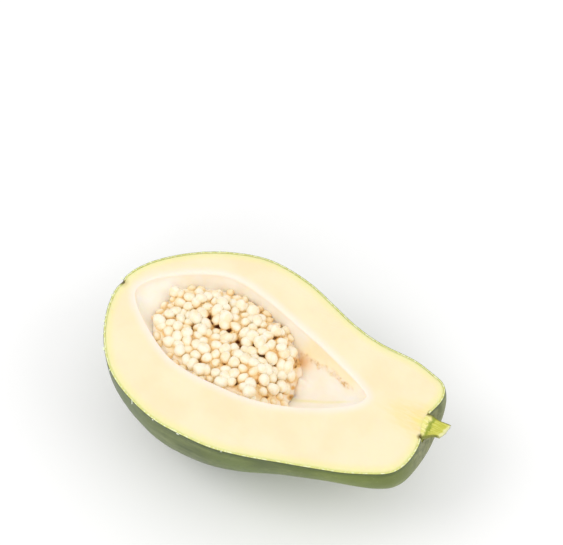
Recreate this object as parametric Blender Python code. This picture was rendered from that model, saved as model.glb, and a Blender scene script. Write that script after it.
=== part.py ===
"""Half of a green papaya, cut lengthwise and lying on its skin with the cut face up.

Four pieces: the skin, the flesh with the seed hollow, the bunch of white seeds, and the
cut stub of the stem. Units are metres. The shapes are worked out in the fruit's own frame:
its origin is the blossom scar on the cut face, +X runs along the fruit to the stem, +Y
across the cut face and +Z up out of it. All pieces then get the same location, which
rests the half on Z = 0 with the middle of its box over the world's origin.
"""

import math
import random

import bmesh
import bpy
import numpy as np
from mathutils import Matrix, Vector

# The fruit, from blossom scar to shoulder
BODY_LENGTH = 0.224
BLOSSOM_ROUNDING = 0.084
SHOULDER_START = 0.141
SHOULDER_POWER = 4.5
SHOULDER_BLUNTNESS = 4
# (distance along the fruit, reach from its axis) before the ends are rounded off
NARROW_SIDE = ((0, 0.0505), (0.046, 0.0600), (0.089, 0.0628), (0.112, 0.0585), (0.131, 0.0515),
               (0.150, 0.0445), (0.170, 0.0402), (0.195, 0.0408), (0.212, 0.0414), (0.224, 0.0470))
FULL_SIDE = ((0, 0.0713), (0.020, 0.0766), (0.056, 0.0771), (0.094, 0.0782), (0.115, 0.0770),
             (0.135, 0.0722), (0.160, 0.0640), (0.188, 0.0556), (0.212, 0.0508), (0.224, 0.0530))
BACK_DEPTH = ((0, 0.0780), (0.030, 0.0715), (0.060, 0.0705), (0.085, 0.0714), (0.105, 0.0722),
              (0.125, 0.0695), (0.155, 0.0545), (0.180, 0.0455), (0.224, 0.0460))
# How far the section fills out between its rim and its keel: 2 is an ellipse
FULLNESS = ((0, 2.5), (0.040, 2.5), (0.090, 2.5), (0.125, 2.1), (0.160, 1.95), (0.190, 2.1),
            (0.224, 3.0))
# Five lobes run the length of the fruit: how far they swell, as a share of the section
LOBE_COUNT = 5
LOBE_AT_BLOSSOM = 0.006
LOBE_AT_STEM = 0.040
FLAT_SPOT_SAG = 0.0016
# How far the stem end leans out below the cut, for each metre of depth
STEM_END_LEAN = 0.14
STEM_END_LEAN_POWER = 8

# The dimple round the stem and the pit at the blossom scar
DIMPLE_DEPTH = 0.0048
DIMPLE_RADIUS = 0.0130
DIMPLE_ASIDE = 0.0050
PIT_DEPTH = 0.0012
PIT_RADIUS = 0.0030

SKIN_THICKNESS = 0.0012
FIT_GAP = 0.0003

# The seed hollow
HOLLOW_START = 0.0125
HOLLOW_END = 0.1800
HOLLOW_REACH = 0.040
HOLLOW_ROUNDING = 0.050
HOLLOW_TIP_START = 0.105
HOLLOW_NARROW_SIDE = ((0.0125, 0.0240), (0.030, 0.0300), (0.066, 0.0380), (0.092, 0.0338),
                      (0.115, 0.0270), (0.140, 0.0215), (0.180, 0.0120))
HOLLOW_FULL_SIDE = ((0.0125, 0.0180), (0.032, 0.0250), (0.066, 0.0360), (0.100, 0.0370),
                    (0.125, 0.0352), (0.150, 0.0310), (0.180, 0.0230))
HOLLOW_DEPTH = ((0.0125, 0.0130), (0.030, 0.0165), (0.048, 0.0270), (0.072, 0.0330),
                (0.110, 0.0340), (0.140, 0.0270), (0.180, 0.0180))

# The heap of seeds
HEAP_DEPTH = 0.0084
HEAP_CROWN = 0.0020
HEAP_FAR_DROP = 0.0050
HEAP_FAR_START = 0.0040
HEAP_FAR_REACH = 0.0280
HEAP_START = 0.0360
HEAP_START_SLOPE = 0.70
HEAP_END = 0.1120
HEAP_END_SLOPE = 0.75
GROOVE_DEPTH = 0.0042
GROOVE_FADE = 0.0300
GROOVE_SPREAD = 0.0050
GROOVE_START = (0.045, 0.0030)
GROOVE_END = (0.132, -0.0060)
SEED_LENGTH = 0.0078
SEED_WIDTH = 0.0070
SEED_PITCH = 0.0069
SEED_SCATTER = 0.00060
SEED_HIGHEST = -0.0042
SEED_RISE = 0.0015
SEED_RISE_SPREAD = 0.0011
SEED_LEAN = 0.50
RIDING_TRIES = 2500
RIDING_LIFT = 0.0026
RIDING_SPACING = 0.0120
RIDING_NEAREST = 0.0042
RIDING_FARTHEST = 0.0052
RANDOM_SEED = 11
BED_GAP = 0.0008
BED_ROWS = 26
BED_COLUMNS = 12
BED_NARROWEST = 8

# The stub of the stem
STUB_BASE_RADIUS = 0.0088
# (share of the way from foot to tip, radius), ending with the slanted cut of the tip
STUB_OUTLINE = ((0.22, 0.0083), (0.5, 0.0070), (1, 0.0074), (1, 0.0037), (1, 0))
STUB_TIP_X = 0.2320
STUB_TIP_SLANT = 0.30
STUB_RING_RADIUS = 0.0100
STUB_GAP = 0.0007
STUB_STEPS = 12

# How finely the surfaces are divided, and searched
LENGTH_STEPS = 36
ROUND_STEPS = 18
HOLLOW_STEPS = 12
END_STEPS = 4
SHARP_ANGLE = math.radians(50)
SAME_POINT = 1e-6
DENSE = 4000
DENSE_ACROSS = 401
DENSE_ALONG = 600

COLOURS = {
    "skin": ((0.13, 0.20, 0.045), 0.38),
    "flesh": ((0.98, 0.87, 0.61), 0.50),
    "seeds": ((0.95, 0.87, 0.72), 0.35),
    "stem_stub": ((0.62, 0.62, 0.16), 0.60),
}


def clear_scene():
    for thing in list(bpy.data.objects):
        bpy.data.objects.remove(thing, do_unlink=True)


def smooth_curve(stations):
    """A smooth function through (position, value) stations, with no overshoot at the ends."""
    at, value = (np.array(column, float) for column in zip(*stations))
    slope = np.gradient(value, at)

    def curve(x):
        x = np.clip(x, at[0], at[-1])
        i = np.clip(np.searchsorted(at, x) - 1, 0, len(at) - 2)
        width = at[i + 1] - at[i]
        t = (x - at[i]) / width
        return (
            value[i] * (1 + 2 * t) * (1 - t) ** 2
            + slope[i] * width * t * (1 - t) ** 2
            + value[i + 1] * t**2 * (3 - 2 * t)
            + slope[i + 1] * width * t**2 * (t - 1)
        )

    return curve


narrow_side = smooth_curve(NARROW_SIDE)
full_side = smooth_curve(FULL_SIDE)
back_depth = smooth_curve(BACK_DEPTH)
fullness = smooth_curve(FULLNESS)
hollow_narrow = smooth_curve(HOLLOW_NARROW_SIDE)
hollow_full = smooth_curve(HOLLOW_FULL_SIDE)
hollow_depth = smooth_curve(HOLLOW_DEPTH)


def rounded_end(distance, reach, power=2, bluntness=2):
    """1 away from an end and 0 at it, where distance runs from 0 to reach at the end."""
    share = np.clip(distance / reach, 0, 1)
    return (1 - share**power) ** (1 / bluntness)


def fruit_closing(x):
    """How far the section has opened at x: 0 at either end of the fruit and 1 in between."""
    blossom = rounded_end(BLOSSOM_ROUNDING - x, BLOSSOM_ROUNDING)
    shoulder_reach = BODY_LENGTH - SHOULDER_START
    stem = rounded_end(x - SHOULDER_START, shoulder_reach, SHOULDER_POWER, SHOULDER_BLUNTNESS)
    return blossom * stem


def hollow_closing(x):
    """The same for the seed hollow."""
    start = rounded_end(HOLLOW_START + HOLLOW_ROUNDING - x, HOLLOW_ROUNDING)
    tip = rounded_end(x - HOLLOW_TIP_START, HOLLOW_END - HOLLOW_TIP_START)
    return start * tip


def fruit_section(x):
    """Half the width, the middle and the depth of the section at x."""
    closing = fruit_closing(x)
    narrow, full = narrow_side(x) * closing, full_side(x) * closing
    return (narrow + full) / 2, (narrow - full) / 2, back_depth(x) * closing


def hollow_section(x):
    """Half the width, the middle and the depth of the hollow at x."""
    closing = hollow_closing(x)
    narrow, full = hollow_narrow(x) * closing, hollow_full(x) * closing
    return (narrow + full) / 2, (narrow - full) / 2, hollow_depth(x) * closing


def even_stations(section, start, end, count):
    """Positions along the axis that divide the outline of a section function evenly."""
    turn = np.linspace(0, math.pi, DENSE)
    x = start + (end - start) * (1 - np.cos(turn)) / 2
    half = section(x)[0]
    along = np.concatenate([[0], np.cumsum(np.hypot(np.diff(x), np.diff(half)))])
    return np.interp(np.linspace(0, along[-1], count + 1), along, x)


def stub_ring_position():
    """Where the fruit's end has narrowed to the ring that the skin leaves round the stem."""
    x = np.linspace(SHOULDER_START, BODY_LENGTH, DENSE)
    half = fruit_section(x)[0]
    return float(np.interp(-STUB_RING_RADIUS, -half, x))


def underside():
    """The height of the flat spot that the half rests on, a little above its deepest point."""
    x = np.linspace(0, BODY_LENGTH, DENSE)
    keel = fruit_section(x)[2] * section_swell(x, math.pi / 2)
    return FLAT_SPOT_SAG - float(np.max(keel))


def section_swell(x, turn):
    """The section's radius against an ellipse's: fuller between rim and keel, and lobed."""
    power = fullness(x)
    full = (np.abs(np.cos(turn)) ** power + np.abs(np.sin(turn)) ** power) ** (-1 / power)
    lobe = LOBE_AT_BLOSSOM + (LOBE_AT_STEM - LOBE_AT_BLOSSOM) * (x / BODY_LENGTH) ** 2
    return full * (1 + lobe * np.sin(LOBE_COUNT * turn))


def stem_end_lean(x, z):
    """How far the stem end leans out at a height below the cut."""
    return -STEM_END_LEAN * z * (x / BODY_LENGTH) ** STEM_END_LEAN_POWER


def dimple(y, z):
    """How far the end of the fruit draws back round the stem."""
    return DIMPLE_DEPTH * np.exp(-((y - DIMPLE_ASIDE) ** 2 + z**2) / DIMPLE_RADIUS**2)


def pit(y, z):
    """How far the blossom scar is sunk."""
    return PIT_DEPTH * np.exp(-(y**2 + z**2) / PIT_RADIUS**2)


def fruit_grid(stations):
    """Points of the whole fruit's lower half, one row for each station and one column for
    each turn from the narrow side's rim to the full side's, and one column past each rim."""
    turn = np.linspace(0, math.pi, ROUND_STEPS + 1)
    step = turn[1]
    turn = np.concatenate([[-step], turn, [math.pi + step]])
    x, turn = np.meshgrid(stations, turn, indexing="ij")
    half, middle, depth = fruit_section(x)
    swell = section_swell(x, turn)
    y = middle + half * np.cos(turn) * swell
    z = -depth * np.sin(turn) * swell
    x = x + np.where(x < BODY_LENGTH / 2, pit(y, z), stem_end_lean(x, z) - dimple(y, z))
    return np.stack([x, y, np.maximum(z, underside())], axis=-1)


def inset(grid, depth):
    """The grid's rim-to-rim columns, moved in along the surface's normals by depth."""
    along = np.gradient(grid, axis=0)
    across = np.gradient(grid, axis=1)
    normal = np.cross(along, across)
    length = np.linalg.norm(normal, axis=-1, keepdims=True)
    normal = normal / np.maximum(length, SAME_POINT**2)
    normal[0] = (-1, 0, 0)
    if np.ptp(grid[-1, :, 1]) < SAME_POINT:
        normal[-1] = (1, 0, 0)
    moved = (grid - depth * normal)[:, 1:-1]
    moved[:, (0, -1), 2] = 0
    return moved


def add_rows(shape, grid):
    """Vertices of a grid, with one shared vertex for a row that has shrunk to a point."""
    rows = []
    for row in grid:
        if np.ptp(row, axis=0).max() < SAME_POINT:
            rows.append([shape.verts.new(row[0])] * len(row))
        else:
            rows.append([shape.verts.new(point) for point in row])
    return rows


def add_face(shape, corners):
    different = list(dict.fromkeys(corners))
    if len(different) > 2:
        shape.faces.new(different)


def join_rows(shape, rows, flipped=False):
    """Faces between neighbouring rows."""
    for first, second in zip(rows, rows[1:]):
        for k in range(len(first) - 1):
            corners = [first[k], first[k + 1], second[k + 1], second[k]]
            add_face(shape, corners[:1] + corners[:0:-1] if flipped else corners)


def join_edges(shape, first, second):
    """A strip of faces between two chains of vertices."""
    for k in range(len(first) - 1):
        add_face(shape, [first[k], first[k + 1], second[k + 1], second[k]])


def finish(name, shape):
    """An object from a bmesh, facing out, smooth-shaded and with its own material."""
    bmesh.ops.recalc_face_normals(shape, faces=shape.faces)
    mesh = bpy.data.meshes.new(name)
    shape.to_mesh(mesh)
    shape.free()
    piece = bpy.data.objects.new(name, mesh)
    bpy.context.collection.objects.link(piece)
    dress(piece)
    return piece


def dress(piece):
    colour, roughness = COLOURS[piece.name]
    material = bpy.data.materials.new(piece.name)
    material.use_nodes = True
    shader = material.node_tree.nodes["Principled BSDF"]
    shader.inputs["Base Color"].default_value = (*colour, 1)
    shader.inputs["Roughness"].default_value = roughness
    shader.inputs["Metallic"].default_value = 0
    piece.data.materials.clear()
    piece.data.materials.append(material)
    piece.data.shade_smooth()
    piece.data.set_sharp_from_angle(angle=SHARP_ANGLE)


def make_skin():
    """The green skin: a thin shell, cut level at the rim and open round the stem."""
    stations = even_stations(fruit_section, 0, stub_ring_position(), LENGTH_STEPS)
    grid = fruit_grid(stations)
    shape = bmesh.new()
    outer = add_rows(shape, inset(grid, 0))
    inner = add_rows(shape, inset(grid, SKIN_THICKNESS))
    join_rows(shape, outer)
    join_rows(shape, inner, flipped=True)
    for column in (0, -1):
        join_edges(shape, [row[column] for row in outer], [row[column] for row in inner])
    join_edges(shape, outer[-1], inner[-1])
    return finish("skin", shape)


def make_flesh():
    """The flesh: a solid half with the seed hollow open in its cut face."""
    ring = stub_ring_position()
    stations = np.concatenate(
        [
            even_stations(fruit_section, 0, ring, LENGTH_STEPS),
            even_stations(fruit_section, ring, BODY_LENGTH, END_STEPS)[1:],
        ]
    )
    grid = inset(fruit_grid(stations), SKIN_THICKNESS + FIT_GAP)
    shape = bmesh.new()
    back = add_rows(shape, grid)
    join_rows(shape, back)
    hollow = add_rows(shape, hollow_grid(0, len(stations) - 1))
    join_rows(shape, hollow, flipped=True)
    for column in (0, -1):
        join_edges(shape, [row[column] for row in back], [row[column] for row in hollow])
    return finish("flesh", shape)


def hollow_grid(clearance, count):
    """Points of the hollow's wall, one row for each station, drawn in by a clearance."""
    stations = even_stations(hollow_section, HOLLOW_START, HOLLOW_END, count)
    turn = np.linspace(0, math.pi, HOLLOW_STEPS + 1)
    x, turn = np.meshgrid(stations, turn, indexing="ij")
    half, middle, depth = hollow_section(x)
    y = middle + np.maximum(half - clearance, 0) * np.cos(turn)
    z = -np.maximum(depth - clearance, 0) * np.sin(turn)
    z[:, (0, -1)] = 0
    return np.stack([x, y, z], axis=-1)


def wall_height(x, y, clearance):
    """The hollow's wall under (x, y), drawn in by a clearance; 0 outside it."""
    half, middle, depth = hollow_section(x)
    half, depth = np.maximum(half - clearance, SAME_POINT), np.maximum(depth - clearance, SAME_POINT)
    return -depth * np.sqrt(np.clip(1 - ((y - middle) / half) ** 2, 0, 1))


def heap_height(x, y):
    """The top of the pulp bed that the seeds stand in: crowned, grooved down the middle,
    lower on the narrow side and falling to the hollow's floor at both ends."""
    half, middle, _ = hollow_section(x)
    crown = HEAP_CROWN * (1 - np.clip((y - middle) / np.maximum(half, SAME_POINT), -1, 1) ** 2)
    share = np.clip((x - GROOVE_START[0]) / (GROOVE_END[0] - GROOVE_START[0]), 0, 1)
    groove_y = GROOVE_START[1] + share * (GROOVE_END[1] - GROOVE_START[1])
    fade = np.clip((x - HOLLOW_START) / GROOVE_FADE, 0, 1)
    groove = GROOVE_DEPTH * fade * np.exp(-(((y - groove_y) / GROOVE_SPREAD) ** 2) / 2)
    far = np.clip((y - groove_y - HEAP_FAR_START) / HEAP_FAR_REACH, 0, 1)
    drop = HEAP_FAR_DROP * far * far * (3 - 2 * far)
    ends = HEAP_START_SLOPE * np.maximum(HEAP_START - x, 0)
    ends = ends + HEAP_END_SLOPE * np.maximum(x - HEAP_END, 0)
    return -HEAP_DEPTH + crown - groove - drop - ends


def heap_span(x):
    """(lowest, highest) y at which the heap stands clear of the wall at x, or None."""
    half, middle, _ = hollow_section(x)
    y = np.linspace(middle - half, middle + half, DENSE_ACROSS)
    inside = y[heap_height(x, y) > wall_height(x, y, BED_GAP)]
    return (inside[0], inside[-1]) if len(inside) > BED_NARROWEST else None


def heap_core():
    """The pulp bed in the hollow: its top is the heap, its underside follows the wall."""
    held = [x for x in np.linspace(HOLLOW_START, HOLLOW_END, DENSE_ALONG) if heap_span(x)]
    stations = np.linspace(held[0], held[-1], BED_ROWS + 1)
    share = (1 - np.cos(np.linspace(0, math.pi, BED_COLUMNS + 1))) / 2
    shape = bmesh.new()
    tops, bottoms = [], []
    for x in stations:
        low, high = heap_span(x)
        tip = x in (stations[0], stations[-1])
        y = np.full_like(share, (low + high) / 2) if tip else low + (high - low) * share
        top = np.stack([np.full_like(y, x), y, heap_height(x, y)], axis=-1)
        tops.extend(add_rows(shape, [top]))
        if tip:
            bottoms.append(tops[-1])
            continue
        top[:, 2] = wall_height(x, y, BED_GAP)
        middle = [shape.verts.new(point) for point in top[1:-1]]
        bottoms.append([tops[-1][0], *middle, tops[-1][-1]])
    join_rows(shape, tops)
    join_rows(shape, bottoms, flipped=True)
    return shape


def seed_fits(centre):
    """True where a seed at this centre is over the bed and clears the hollow's wall all round."""
    x, y, z = centre
    reach = SEED_LENGTH / 2 + BED_GAP
    if heap_span(x) is None or wall_height(x, y, BED_GAP) > heap_height(x, y) - BED_GAP:
        return False
    half, middle, depth = hollow_section(np.array([x - reach, x, x + reach]))
    if min(half) <= reach or min(depth) <= reach:
        return False
    return bool(np.all(((y - middle) / (half - reach)) ** 2 + (z / (depth - reach)) ** 2 < 1))


def seed_at(draw, x, y, lift):
    """(centre, pointing) of a seed that stands about upright on the bed at (x, y), under the cut."""
    rise = SEED_RISE + lift + draw.uniform(-SEED_RISE_SPREAD, SEED_RISE_SPREAD)
    pointing = Vector((draw.gauss(0, SEED_LEAN), draw.gauss(0, SEED_LEAN), 1))
    z = min(float(heap_height(x, y)) + rise, SEED_HIGHEST)
    return Vector((x, y, z)), pointing.normalized()


def nearest(centre, places):
    return min(((centre - other).length for other, _ in places), default=1)


def seed_places():
    """(centre, pointing) of each seed: side by side over the bed, in rows that are a little
    out of true, and then a few more that ride on two or three of them."""
    draw = random.Random(RANDOM_SEED)
    bedded, riding = [], []
    row_step = SEED_PITCH * math.sqrt(3) / 2
    for row in range(int(2 * HOLLOW_REACH / row_step)):
        for column in range(int((HOLLOW_END - HOLLOW_START) / SEED_PITCH)):
            x = HOLLOW_START + (column + row % 2 / 2) * SEED_PITCH + draw.gauss(0, SEED_SCATTER)
            y = row * row_step - HOLLOW_REACH + draw.gauss(0, SEED_SCATTER)
            seed = seed_at(draw, x, y, 0)
            if seed_fits(seed[0]):
                bedded.append(seed)
    for _ in range(RIDING_TRIES):
        x = draw.uniform(HOLLOW_START, HOLLOW_END)
        y = draw.uniform(-HOLLOW_REACH, HOLLOW_REACH)
        seed = seed_at(draw, x, y, RIDING_LIFT)
        rests = RIDING_NEAREST < nearest(seed[0], bedded) < RIDING_FARTHEST
        if rests and nearest(seed[0], riding) > RIDING_SPACING and seed_fits(seed[0]):
            riding.append(seed)
    return bedded + riding


def seed_shape(centre, pointing):
    turn = pointing.to_track_quat("Z", "Y").to_matrix().to_4x4()
    size = Matrix.Diagonal((SEED_WIDTH / 2, SEED_WIDTH / 2, SEED_LENGTH / 2, 1))
    shape = bmesh.new()
    bmesh.ops.create_icosphere(
        shape,
        subdivisions=1,
        radius=1,
        matrix=Matrix.Translation(centre) @ turn @ size,
    )
    return shape


def make_seeds():
    """The bunch of seeds: every seed fused to the pulp bed that it stands in."""
    bunch = finish("seeds", heap_core())
    loose = bpy.data.collections.new("loose_seeds")
    bpy.context.scene.collection.children.link(loose)
    for centre, pointing in seed_places():
        shape = seed_shape(centre, pointing)
        mesh = bpy.data.meshes.new("seed")
        shape.to_mesh(mesh)
        shape.free()
        loose.objects.link(bpy.data.objects.new("seed", mesh))
    union = bunch.modifiers.new("union", "BOOLEAN")
    union.operation = "UNION"
    union.operand_type = "COLLECTION"
    union.collection = loose
    union.solver = "MANIFOLD"
    apply_modifiers(bunch)
    for seed in list(loose.objects):
        bpy.data.objects.remove(seed, do_unlink=True)
    bpy.data.collections.remove(loose)
    dress(bunch)
    return bunch


def apply_modifiers(piece):
    bpy.context.view_layer.update()
    graph = bpy.context.evaluated_depsgraph_get()
    mesh = bpy.data.meshes.new_from_object(piece.evaluated_get(graph))
    piece.modifiers.clear()
    piece.data = mesh


def stub_foot(y, z):
    """The face that the stub turns to the flesh, where the fruit closes on its axis."""
    end = BODY_LENGTH - SKIN_THICKNESS - FIT_GAP + STUB_GAP
    return end + stem_end_lean(BODY_LENGTH, z) - dimple(y, z)


def make_stub():
    """The cut stem: half a stub that flares at its foot, in the dimple, with a slanted tip."""
    turn = np.linspace(0, math.pi, STUB_STEPS + 1)
    across, down = np.cos(turn), -np.sin(turn)
    grid = []
    for share in (0, 0.5, 1):
        y, z = share * STUB_BASE_RADIUS * across, share * STUB_BASE_RADIUS * down
        grid.append(np.stack([stub_foot(y, z), y, z], axis=-1))
    for share, radius in STUB_OUTLINE:
        y, z = radius * across, radius * down
        foot = stub_foot(STUB_BASE_RADIUS * across, STUB_BASE_RADIUS * down)
        tip = STUB_TIP_X + STUB_TIP_SLANT * y
        grid.append(np.stack([foot + share * (tip - foot), y, z], axis=-1))
    shape = bmesh.new()
    rows = add_rows(shape, grid)
    join_rows(shape, rows)
    cut = [row[0] for row in rows] + [row[-1] for row in rows[-2:0:-1]]
    shape.faces.new(cut)
    return finish("stem_stub", shape)


def rest_on_ground(pieces):
    """Gives the pieces the location that stands the middle of their box's floor at the origin."""
    corners = np.array([vertex.co for piece in pieces for vertex in piece.data.vertices])
    low, high = corners.min(axis=0), corners.max(axis=0)
    for piece in pieces:
        piece.location = (-(low[0] + high[0]) / 2, -(low[1] + high[1]) / 2, -low[2])


def main():
    clear_scene()
    rest_on_ground([make_skin(), make_flesh(), make_seeds(), make_stub()])


main()
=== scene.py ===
"""The look of the green papaya half: fine surfaces, materials, light and camera.

Units are metres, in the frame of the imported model. The shapes are worked out in the fruit's
own frame, by the same rules as its solids: from the blossom scar on the cut face, +X runs
along the fruit to the stem, +Y across the cut face and +Z up out of it. ORIGIN is where
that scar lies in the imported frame.
"""

import math
import random

import bpy
import numpy as np
from mathutils import Matrix, Vector, noise


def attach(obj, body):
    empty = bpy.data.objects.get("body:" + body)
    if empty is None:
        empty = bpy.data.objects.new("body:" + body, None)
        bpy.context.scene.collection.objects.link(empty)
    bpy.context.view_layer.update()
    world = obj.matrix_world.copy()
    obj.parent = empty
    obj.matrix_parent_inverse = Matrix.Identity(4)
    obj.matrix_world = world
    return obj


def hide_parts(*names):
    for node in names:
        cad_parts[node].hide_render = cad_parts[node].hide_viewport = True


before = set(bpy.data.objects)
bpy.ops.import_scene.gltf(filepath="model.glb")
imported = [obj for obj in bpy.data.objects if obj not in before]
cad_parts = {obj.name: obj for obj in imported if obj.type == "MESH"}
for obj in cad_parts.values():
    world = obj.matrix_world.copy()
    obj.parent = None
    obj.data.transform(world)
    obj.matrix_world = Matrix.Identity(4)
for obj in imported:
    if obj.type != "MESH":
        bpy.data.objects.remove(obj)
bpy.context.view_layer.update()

scene = bpy.context.scene
ORIGIN = np.array([-0.11746, 0.00755, 0.07162])


def from_mm(rows, plain=None):
    """A table in metres from one in millimetres, but for its plain column."""
    return [[v if at == plain else v / 1000 for at, v in enumerate(row)] for row in rows]


# The fruit, from blossom scar to shoulder
BODY_LENGTH = 0.224
BLOSSOM_ROUNDING = 0.084
SHOULDER_START = 0.141
SHOULDER_POWER = 4.5
SHOULDER_BLUNTNESS = 4
NARROW_SIDE = from_mm((
    (0, 50.5), (46, 60), (89, 62.8), (112, 58.5), (131, 51.5), (150, 44.5), (170, 40.2),
    (195, 40.8), (212, 41.4), (224, 47),
))
FULL_SIDE = from_mm((
    (0, 71.3), (20, 76.6), (56, 77.1), (94, 78.2), (115, 77), (135, 72.2), (160, 64), (188, 55.6),
    (212, 50.8), (224, 53),
))
BACK_DEPTH = from_mm((
    (0, 78), (30, 71.5), (60, 70.5), (85, 71.4), (105, 72.2), (125, 69.5), (155, 54.5), (180, 45.5),
    (224, 46),
))
FULLNESS = from_mm((
    (0, 2.5), (40, 2.5), (90, 2.5), (125, 2.1), (160, 1.95), (190, 2.1), (224, 3),
), 1)
LOBE_COUNT = 5
LOBE_AT_BLOSSOM = 0.006
LOBE_AT_STEM = 0.04
FLAT_SPOT_SAG = 0.0016
STEM_END_LEAN = 0.14
STEM_END_LEAN_POWER = 8
DIMPLE_DEPTH = 0.0048
DIMPLE_RADIUS = 0.013
DIMPLE_ASIDE = 0.005
PIT_DEPTH = 0.0012
PIT_RADIUS = 0.003
SKIN_THICKNESS = 0.0012

# The seed hollow
HOLLOW_START = 0.0125
HOLLOW_END = 0.18
HOLLOW_REACH = 0.04
HOLLOW_ROUNDING = 0.05
HOLLOW_TIP_START = 0.105
HOLLOW_NARROW_SIDE = from_mm((
    (12.5, 24), (30, 30), (66, 38), (92, 33.8), (115, 27), (140, 21.5), (180, 12),
))
HOLLOW_FULL_SIDE = from_mm((
    (12.5, 18), (32, 25), (66, 36), (100, 37), (125, 35.2), (150, 31), (180, 23),
))
HOLLOW_DEPTH = from_mm((
    (12.5, 13), (30, 16.5), (48, 27), (72, 33), (110, 34), (140, 27), (180, 18),
))

# The heap of seeds
HEAP_DEPTH = 0.0084
HEAP_CROWN = 0.002
HEAP_FAR_DROP = 0.005
HEAP_FAR_START = 0.004
HEAP_FAR_REACH = 0.028
HEAP_START = 0.036
HEAP_START_SLOPE = 0.7
HEAP_END = 0.112
HEAP_END_SLOPE = 0.75
GROOVE_DEPTH = 0.0042
GROOVE_SPREAD = 0.005
GROOVE_START = (0.045, 0.003)
GROOVE_END = (0.132, -0.006)
SEED_LENGTH = 0.0078
SEED_WIDTH = 0.007
SEED_PITCH = 0.0069
SEED_SCATTER = 0.0006
SEED_HIGHEST = -0.0042
SEED_RISE = 0.0015
SEED_RISE_SPREAD = 0.0011
SEED_LEAN = 0.5
RIDING_TRIES = 2500
RIDING_LIFT = 0.0026
RIDING_SPACING = 0.012
RIDING_NEAREST = 0.0042
RIDING_FARTHEST = 0.0052
RANDOM_SEED = 11
BED_GAP = 0.0008
PULP_GAP = 0.0001

# The stub of the stem
STUB_OUTLINE = ((0, 0.0088), (0.22, 0.0083), (0.5, 0.007), (1, 0.0074))
STUB_TIP_X = 0.232
STUB_TIP_SLANT = 0.3
STUB_RING_RADIUS = 0.01

DENSE = 4000


def xyz(x, y, z):
    return np.stack(np.broadcast_arrays(x, y, z), axis=-1)


def half_turn(steps):
    return np.linspace(0, math.pi, steps + 1)


def smooth_curve(stations):
    at, value = (np.array(column, float) for column in zip(*stations))
    slope = np.gradient(value, at)

    def curve(x):
        x = np.clip(x, at[0], at[-1])
        i = np.clip(np.searchsorted(at, x) - 1, 0, len(at) - 2)
        width = at[i + 1] - at[i]
        t = (x - at[i]) / width
        return (
            value[i] * (1 + 2 * t) * (1 - t) ** 2
            + slope[i] * width * t * (1 - t) ** 2
            + value[i + 1] * t**2 * (3 - 2 * t)
            + slope[i + 1] * width * t**2 * (t - 1)
        )

    return curve


fullness = smooth_curve(FULLNESS)
fruit_curves = [smooth_curve(c) for c in (NARROW_SIDE, FULL_SIDE, BACK_DEPTH)]
hollow_curves = [smooth_curve(c) for c in (HOLLOW_NARROW_SIDE, HOLLOW_FULL_SIDE, HOLLOW_DEPTH)]


def rounded_end(distance, reach, power=2, bluntness=2):
    share = np.clip(distance / reach, 0, 1)
    return (1 - share**power) ** (1 / bluntness)


def section_at(x, closing, curves):
    """Half the width, the middle and the depth of a section."""
    narrow, full, depth = (curve(x) * closing for curve in curves)
    return (narrow + full) / 2, (narrow - full) / 2, depth


def fruit_section(x):
    blossom = rounded_end(BLOSSOM_ROUNDING - x, BLOSSOM_ROUNDING)
    shoulder_reach = BODY_LENGTH - SHOULDER_START
    stem = rounded_end(x - SHOULDER_START, shoulder_reach, SHOULDER_POWER, SHOULDER_BLUNTNESS)
    return section_at(x, blossom * stem, fruit_curves)


def hollow_section(x):
    start = rounded_end(HOLLOW_START + HOLLOW_ROUNDING - x, HOLLOW_ROUNDING)
    tip = rounded_end(x - HOLLOW_TIP_START, HOLLOW_END - HOLLOW_TIP_START)
    return section_at(x, start * tip, hollow_curves)


def even_stations(section, start, end, count):
    turn = half_turn(DENSE - 1)
    x = start + (end - start) * (1 - np.cos(turn)) / 2
    half = section(x)[0]
    along = np.concatenate([[0], np.cumsum(np.hypot(np.diff(x), np.diff(half)))])
    return np.interp(np.linspace(0, along[-1], count + 1), along, x)


def stub_ring_position(radius=STUB_RING_RADIUS):
    x = np.linspace(SHOULDER_START, BODY_LENGTH, DENSE)
    half = fruit_section(x)[0]
    return float(np.interp(-radius, -half, x))


def section_swell(x, turn):
    power = fullness(x)
    full = (np.abs(np.cos(turn)) ** power + np.abs(np.sin(turn)) ** power) ** (-1 / power)
    lobe = LOBE_AT_BLOSSOM + (LOBE_AT_STEM - LOBE_AT_BLOSSOM) * (x / BODY_LENGTH) ** 2
    return full * (1 + lobe * np.sin(LOBE_COUNT * turn))


def underside():
    x = np.linspace(0, BODY_LENGTH, DENSE)
    keel = fruit_section(x)[2] * section_swell(x, math.pi / 2)
    return FLAT_SPOT_SAG - float(np.max(keel))


def stem_end_lean(x, z):
    return -STEM_END_LEAN * z * (x / BODY_LENGTH) ** STEM_END_LEAN_POWER


def dimple(y, z):
    return DIMPLE_DEPTH * np.exp(-((y - DIMPLE_ASIDE) ** 2 + z**2) / DIMPLE_RADIUS**2)


def pit(y, z):
    return PIT_DEPTH * np.exp(-(y**2 + z**2) / PIT_RADIUS**2)


def fruit_grid(stations, columns):
    """Points of the half's outside: a row for each station, a column for each turn from the
    narrow side's rim to the full side's, and one column past each rim."""
    turn = half_turn(columns)
    step = turn[1]
    turn = np.concatenate([[-step], turn, [math.pi + step]])
    x, turn = np.meshgrid(stations, turn, indexing="ij")
    half, middle, depth = fruit_section(x)
    swell = section_swell(x, turn)
    y = middle + half * np.cos(turn) * swell
    z = -depth * np.sin(turn) * swell
    x = x + np.where(x < BODY_LENGTH / 2, pit(y, z), stem_end_lean(x, z) - dimple(y, z))
    return xyz(x, y, np.maximum(z, underside()))


def length(vectors):
    return np.linalg.norm(vectors, axis=-1)


def unit(vectors):
    return vectors / np.maximum(length(vectors), 1e-12)[..., None]


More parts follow.
